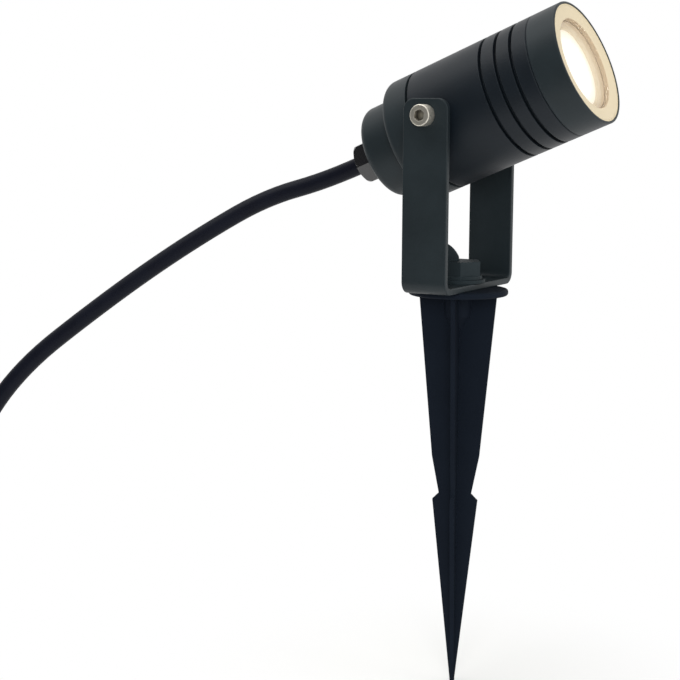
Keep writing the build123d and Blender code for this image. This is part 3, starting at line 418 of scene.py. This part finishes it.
coat = powder_coat("powder_coat_anthracite", "#161d20", "#20292d")
# The barrel takes a darker copy of the coat, as painted shade
shaded_coat = powder_coat("powder_coat_anthracite_painted_shade", "#0b1117", "#121a21")
steel = machined_steel()
sheath = cable_sheath()
nitrile = moulded_rubber("nitrile_black", "#0b0b0c", "#151517")
silicone = moulded_rubber("silicone_cream", "#d8c8a4", "#e4d5b2")
webbing = coated("nylon_webbing_black", "#0c0c0e", "#1b1b1f", cloud_mm=1.5, roughness=0.7)
soft_pvc = moulded_plastic(
    "soft_pvc_black", "#0a0a0d", "#121216", roughness=0.5, grain_mm=0.9, specular=0.25)
spike_plastic = moulded_plastic(
    "polypropylene_blue_black", "#10151d", "#151b24", roughness=0.6, grain_mm=1.6, specular=0.04)
gland_nylon = moulded_plastic(
    "nylon_black_gloss", "#0c0c0e", "#121215", roughness=0.09, grain_mm=1.5, specular=1.0)
spacer_nylon = moulded_plastic("nylon_black", "#101113", "#191b1d", roughness=0.5, grain_mm=1.2)
black_zinc = moulded_plastic(
    "zinc_blackened", "#1d2528", "#293236", roughness=0.6, grain_mm=1.4, specular=0.15)
reflector_white = moulded_plastic(
    "polycarbonate_white", "#e4e2da", "#f2f0e8", roughness=0.35, grain_mm=1.2)
sleeve_nylon = moulded_plastic("nylon_grey", "#4a4d50", "#585b5e", roughness=0.55, grain_mm=1.2)
terminal_nylon = moulded_plastic("nylon_green", "#1b6a38", "#24804a", roughness=0.45, grain_mm=1.0)

dress(coat, "front_bezel", "rear_cap", "yoke_bracket")
dress(shaded_coat, "head_barrel")
dress(clear_glass(), "front_glass")
dress(silicone, "glass_seal")
dress(trim_plastic(), "trim_ring")
dress(frosted_lens(), "lens")
dress(reflector_white, "reflector_cup")
dress(coated("phosphor_yellow", "#d8a92c", "#efc94f", cloud_mm=2.0, roughness=0.5), "led_emitter")
dress(coated("solder_mask_white", "#dcdcd4", "#efefe8", cloud_mm=6.0), "led_board")
dress(coated("solder_mask_green", "#0d3b1e", "#15552c", cloud_mm=6.0), "driver_board")
dress(coated("thermal_silicone_grey", "#6d7378", "#888e93", cloud_mm=3.0, roughness=0.7), "thermal_pad")
dress(steel, "led_screws", "pivot_screw_near", "pivot_screw_far", "spike_stud", "plug_pins")
dress(nitrile, "bezel_gasket", "cap_oring", "gland_seal", "cable_end")
dress(sleeve_nylon, "driver_sleeve")
dress(coated("winding_tape_yellow", "#b88f24", "#d2ab3a", cloud_mm=4.0), "driver_transformer")
dress(coated("capacitor_sleeve", "#0d0e16", "#181a26", cloud_mm=5.0, roughness=0.3), "driver_capacitor")
dress(terminal_nylon, "terminal_block")
dress(coated("pvc_red", "#8e1512", "#a82320", cloud_mm=4.0), "led_lead_positive")
dress(coated("pvc_black", "#0e0e10", "#1a1a1c", cloud_mm=4.0), "led_lead_negative")
dress(coated("pvc_brown", "#4a2412", "#5e3119", cloud_mm=4.0), "supply_core_live")
dress(coated("pvc_blue", "#153a86", "#2450a4", cloud_mm=4.0), "supply_core_neutral")
dress(gland_nylon, "gland_body", "gland_nut")
dress(spacer_nylon, "pivot_spacer_near", "pivot_spacer_far")
dress(black_zinc, "flat_washer", "thumb_nut")
dress(spike_plastic, "ground_spike")
dress(soft_pvc, "plug_relief")


def grid_piece(name, points, material, around=False, along=False):
    """Piece on a grid of points, rows by columns by 3, closed round columns or along rows if said."""
    rows, columns = points.shape[:2]
    r = np.arange(rows if along else rows - 1)[:, None]
    c = np.arange(columns if around else columns - 1)[None, :]
    r2, c2 = (r + 1) % rows, (c + 1) % columns
    corners = [r * columns + c, r * columns + c2, r2 * columns + c2, r2 * columns + c]
    faces = np.stack(corners, -1).reshape(-1, 4)
    mesh = bpy.data.meshes.new(name)
    mesh.from_pydata(points.reshape(-1, 3), [], faces)
    mesh.polygons.foreach_set("use_smooth", np.ones(len(faces), bool))
    mesh.materials.append(material)
    piece = bpy.data.objects.new(name, mesh)
    bpy.context.scene.collection.objects.link(piece)
    return piece


def coil_points():
    """Coil centreline: in along the floor at a pitch a turn, up a layer where it turns back, out on top."""
    turn = np.linspace(0, COIL_TURNS, round(COIL_TURNS * COIL_POINTS_PER_TURN) + 1)
    offset = turn - COIL_TURNS / 2
    near = np.abs(offset) < COIL_TURNBACK / 2
    reach = np.where(near, offset ** 2 / COIL_TURNBACK, np.abs(offset) - COIL_TURNBACK / 4)
    radius = COIL_INNER_R + COIL_PITCH * reach
    climb = 0.5 - 0.5 * np.cos(np.pi * np.clip(offset / COIL_TURNBACK + 0.5, 0, 1))
    angle = -np.pi / 2 - 2 * np.pi * turn
    x = COIL_CENTRE[0] + radius * np.cos(angle)
    y = COIL_CENTRE[1] + radius * np.sin(angle)
    return np.stack([x, y, COIL_LOW_Z + climb * COIL_PITCH], 1)


def cable_line():
    """Points read from the cable's NURBS spline, whose control points are its route, coil and tail."""
    turns = coil_points()
    tail = turns[-1] + (0, COIL_TAIL, 0)
    controls = np.vstack([CABLE_ROUTE, turns, (turns[-1] + tail) / 2, tail])
    curve = bpy.data.curves.new("cable_line", "CURVE")
    curve.dimensions = "3D"
    spline = curve.splines.new("NURBS")
    spline.points.add(len(controls) - 1)
    spline.points.foreach_set("co", np.column_stack([controls, np.ones(len(controls))]).ravel())
    spline.order_u = 3
    spline.use_endpoint_u = True
    spline.resolution_u = CABLE_STEPS
    holder = bpy.data.objects.new("cable_line", curve)
    line = bpy.data.meshes.new_from_object(holder)
    points = np.zeros(len(line.vertices) * 3)
    line.vertices.foreach_get("co", points)
    bpy.data.objects.remove(holder)
    return points.reshape(-1, 3)


def cable():
    """Round tube along the line: each ring is square to it, with one side level with the floor."""
    line = cable_line()
    step = np.gradient(line, axis=0)
    tangent = step / np.linalg.norm(step, axis=1, keepdims=True)
    level = np.cross(tangent, (0, 0, 1))
    level /= np.linalg.norm(level, axis=1, keepdims=True)
    upward = np.cross(level, tangent)
    angle = np.linspace(0, 2 * np.pi, CABLE_SIDES, endpoint=False)[None, :, None]
    rings = line[:, None] + CABLE_R * (np.cos(angle) * level[:, None] + np.sin(angle) * upward[:, None])
    piece = grid_piece("cable", rings, sheath, around=True)
    length = np.concatenate([[0], np.cumsum(np.linalg.norm(np.diff(line, axis=0), axis=1))])
    corner = np.zeros(len(piece.data.loops), np.int32)
    piece.data.loops.foreach_get("vertex_index", corner)
    share = (corner % CABLE_SIDES) / CABLE_SIDES
    # The last strip of faces closes the round, so its far corners are at a full turn
    strip = np.arange(len(corner)) // 4 % CABLE_SIDES
    share = np.where((strip == CABLE_SIDES - 1) & (corner % CABLE_SIDES == 0), 1.0, share)
    layer = piece.data.uv_layers.new(name="along")
    layer.data.foreach_set("uv", np.column_stack([share, length[corner // CABLE_SIDES]]).ravel())
    return piece, line


cable_piece, cable_points = cable()
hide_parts("cable_lead", "cable_coil")
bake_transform(cable_piece)


def signed_power(values, power):
    """Values raised to a power with their signs kept, for superellipses."""
    return np.sign(values) * np.abs(values) ** power


def tie_strap():
    """Strap round the coil's bundle: a flat section with round sides, carried round a superellipse."""
    inner = COIL_INNER_R - CABLE_R - TIE_INNER_SLACK
    outer = COIL_OUTER_R - COIL_PITCH * TIE_TURN + CABLE_R + TIE_SLACK
    low, high = FLOOR_Z + TIE_T, COIL_HIGH_Z + CABLE_R + TIE_SLACK
    half_w, half_h = (outer - inner + TIE_T) / 2, (high - low + TIE_T) / 2
    turn = np.linspace(0, 2 * np.pi, TIE_STEPS, endpoint=False)
    c, s = np.cos(turn), np.sin(turn)
    across, up = half_w * signed_power(c, TIE_LOOP_POWER), half_h * signed_power(s, TIE_LOOP_POWER)
    outward = 2 - TIE_LOOP_POWER
    normal = np.stack([signed_power(c, outward) / half_w, signed_power(s, outward) / half_h])
    normal /= np.linalg.norm(normal, axis=0)
    section = np.linspace(0, 2 * np.pi, TIE_SECTION_POINTS, endpoint=False)
    wide = TIE_WIDTH / 2 * signed_power(np.cos(section), TIE_WIDTH_POWER)
    thick = TIE_T / 2 * signed_power(np.sin(section), TIE_THICKNESS_POWER)
    radial = (inner + outer) / 2 + across[:, None] + normal[0][:, None] * thick
    height = (low + high) / 2 + up[:, None] + normal[1][:, None] * thick
    place = -math.pi / 2 - 2 * math.pi * TIE_TURN
    x = COIL_CENTRE[0] + radial * math.cos(place) - wide * math.sin(place)
    y = COIL_CENTRE[1] + radial * math.sin(place) + wide * math.cos(place)
    return grid_piece("coil_strap", np.stack([x, y, height], -1), webbing, around=True, along=True)


strap = tie_strap()
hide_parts("coil_tie")
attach(strap, "yoke")


def plug_shell():
    """Plug body: superellipses that swell by a smooth step from the neck to a pin face with a round rim.

    The finger grooves are cosine waves along the flats, which fade towards the sides.
    """
    share = np.linspace(0, 1, PLUG_RINGS)[:, None]
    turn = np.linspace(0, 2 * np.pi, PLUG_SIDES, endpoint=False)[None, :]
    swell = np.clip(share / PLUG_SWELL_END, 0, 1)
    swell = swell ** 2 * (3 - 2 * swell)
    into_round = np.clip(1 - (1 - share) * PLUG_L / PLUG_FACE_ROUND, 0, 1)
    inset = PLUG_FACE_ROUND * (1 - np.sqrt(1 - into_round ** 2))
    grip = np.clip((share - PLUG_GRIP[0]) / (PLUG_GRIP[1] - PLUG_GRIP[0]), 0, 1)
    wave = 0.5 - 0.5 * np.cos(2 * np.pi * PLUG_GROOVES * grip)
    c, s = signed_power(np.cos(turn), PLUG_POWER), signed_power(np.sin(turn), PLUG_POWER)
    on_flat = np.clip(PLUG_GROOVE_SLOPE * (PLUG_GROOVE_REACH - np.abs(c)), 0, 1)
    groove = PLUG_GROOVE_DEPTH * wave * on_flat
    half_w, half_t = (neck + (face - neck) * swell - inset for neck, face in zip(PLUG_NECK, PLUG_FACE))
    x = COIL_CENTRE[0] - COIL_OUTER_R + half_w * c
    y = COIL_CENTRE[1] + COIL_TAIL + RELIEF_L + PLUG_L * share + 0 * turn
    z = COIL_HIGH_Z + (half_t - groove) * s
    rings = np.stack([x, y, z], -1)
    ends = rings[[0, -1]].mean(1, keepdims=True) + 0 * rings[[0, -1]]
    return grid_piece("plug_shell", np.vstack([ends[:1], rings, ends[1:]]), soft_pvc, around=True)


plug = plug_shell()
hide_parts("plug_body")
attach(plug, "yoke")


def floor_paper():
    """White studio paper: it takes the shadow near the spike and coil, and is plain white further out."""
    material, tree, shader, place = start_material("studio_paper")
    plug_in(tree, shader, {
        "Base Color": linear("#f4f4f2"), "Roughness": 0.9, "Specular IOR Level": 0.1})
    fades = []
    for centre, near, far in (SPIKE_SHADOW, COIL_SHADOW):
        away = put(tree, "ShaderNodeVectorMath", {0: place, 1: centre}, "Value", operation="DISTANCE")
        fades.append(put(tree, "ShaderNodeMapRange", {
            "Value": away, "From Min": near, "From Max": far}, interpolation_type="SMOOTHSTEP"))
    fade = put(tree, "ShaderNodeMath", {0: fades[0], 1: fades[1]}, operation="MULTIPLY")
    ray = tree.nodes.new("ShaderNodeLightPath").outputs
    first = put(tree, "ShaderNodeMath", {
        0: ray["Is Camera Ray"], 1: ray["Is Glossy Ray"]}, operation="MAXIMUM")
    seen = put(tree, "ShaderNodeMath", {0: first, 1: ray["Is Transmission Ray"]}, operation="MAXIMUM")
    share = put(tree, "ShaderNodeMath", {0: fade, 1: seen}, operation="MULTIPLY")
    white = put(tree, "ShaderNodeEmission", {"Color": (1, 1, 1, 1), "Strength": 1.0})
    mixed = put(tree, "ShaderNodeMixShader", {0: share, 1: shader.outputs["BSDF"], 2: white})
    tree.links.new(mixed, tree.nodes["Material Output"].inputs["Surface"])
    return material


def studio_world():
    """White surround, with a dimmer room on the camera's left that only gloss shows."""
    world = bpy.data.worlds.new("studio")
    world.use_nodes = True
    tree = world.node_tree
    ray = tree.nodes.new("ShaderNodeLightPath").outputs
    direction = put(tree, "ShaderNodeTexCoord", {}, "Generated")
    facing = put(
        tree, "ShaderNodeVectorMath", {0: direction, 1: DIM_SIDE}, "Value", operation="DOT_PRODUCT")
    bright, dim = DIM_COSINES
    room = put(tree, "ShaderNodeMapRange", {
        "Value": facing, "From Min": bright, "From Max": dim, "To Min": 1.0, "To Max": DIM_LEVEL},
        interpolation_type="SMOOTHSTEP")
    lit = put(tree, "ShaderNodeMapRange", {
        "Value": ray["Is Glossy Ray"], "To Min": AMBIENT, "To Max": room})
    plain = put(tree, "ShaderNodeMath", {
        0: ray["Is Camera Ray"], 1: ray["Is Transmission Ray"]}, operation="MAXIMUM")
    strength = put(tree, "ShaderNodeMath", {0: lit, 1: plain}, operation="MAXIMUM")
    plug_in(tree, tree.nodes["Background"], {"Color": (1, 1, 1, 1), "Strength": strength})
    bpy.context.scene.world = world


def soft_lamp(name, place, size, power, in_gloss=True):
    """Square soft box aimed at the spotlight, in metres and watts, which gloss shows unless told not to."""
    light = bpy.data.lights.new(name, "AREA")
    light.size = size
    light.energy = power
    lamp = bpy.data.objects.new(name, light)
    lamp.location = place
    lamp.visible_glossy = in_gloss
    lamp.rotation_euler = (LAMP_AIM - Vector(place)).to_track_quat("-Z", "Y").to_euler()
    bpy.context.scene.collection.objects.link(lamp)


floor_x, floor_y = np.meshgrid((-FLOOR_REACH, 0, FLOOR_REACH), (FLOOR_FRONT, 0, FLOOR_REACH))
floor_z = np.full_like(floor_x, FLOOR_Z - FLOOR_DROP)
grid_piece("floor", np.stack([floor_x, floor_y, floor_z], -1), floor_paper())
studio_world()
soft_lamp("key_lamp", place=(-0.35, -0.35, 1.2), size=0.9, power=6.0)
soft_lamp("side_lamp", place=(1.0, 0.2, 0.45), size=0.7, power=1.8)
soft_lamp("front_lamp", place=(0.5, -1.0, 0.25), size=0.5, power=6.0, in_gloss=False)

camera = bpy.data.cameras.new("camera")
camera.sensor_width = EYE_SENSOR
camera.lens = EYE_LENS
eye = bpy.data.objects.new("camera", camera)
yaw, pitch = math.radians(EYE_YAW), math.radians(EYE_PITCH)
look = Vector((-math.sin(yaw) * math.cos(pitch), math.cos(yaw) * math.cos(pitch), math.sin(pitch)))
level_right = look.cross(Vector((0, 0, 1))).normalized()
turned = Matrix((level_right, level_right.cross(look), -look)).transposed()
rolled = turned @ Matrix.Rotation(math.radians(EYE_ROLL), 3, "Z")
eye.matrix_world = Matrix.Translation(EYE) @ rolled.to_4x4()
bpy.context.scene.collection.objects.link(eye)
bpy.context.scene.camera = eye
bpy.context.scene.view_settings.view_transform = "Standard"
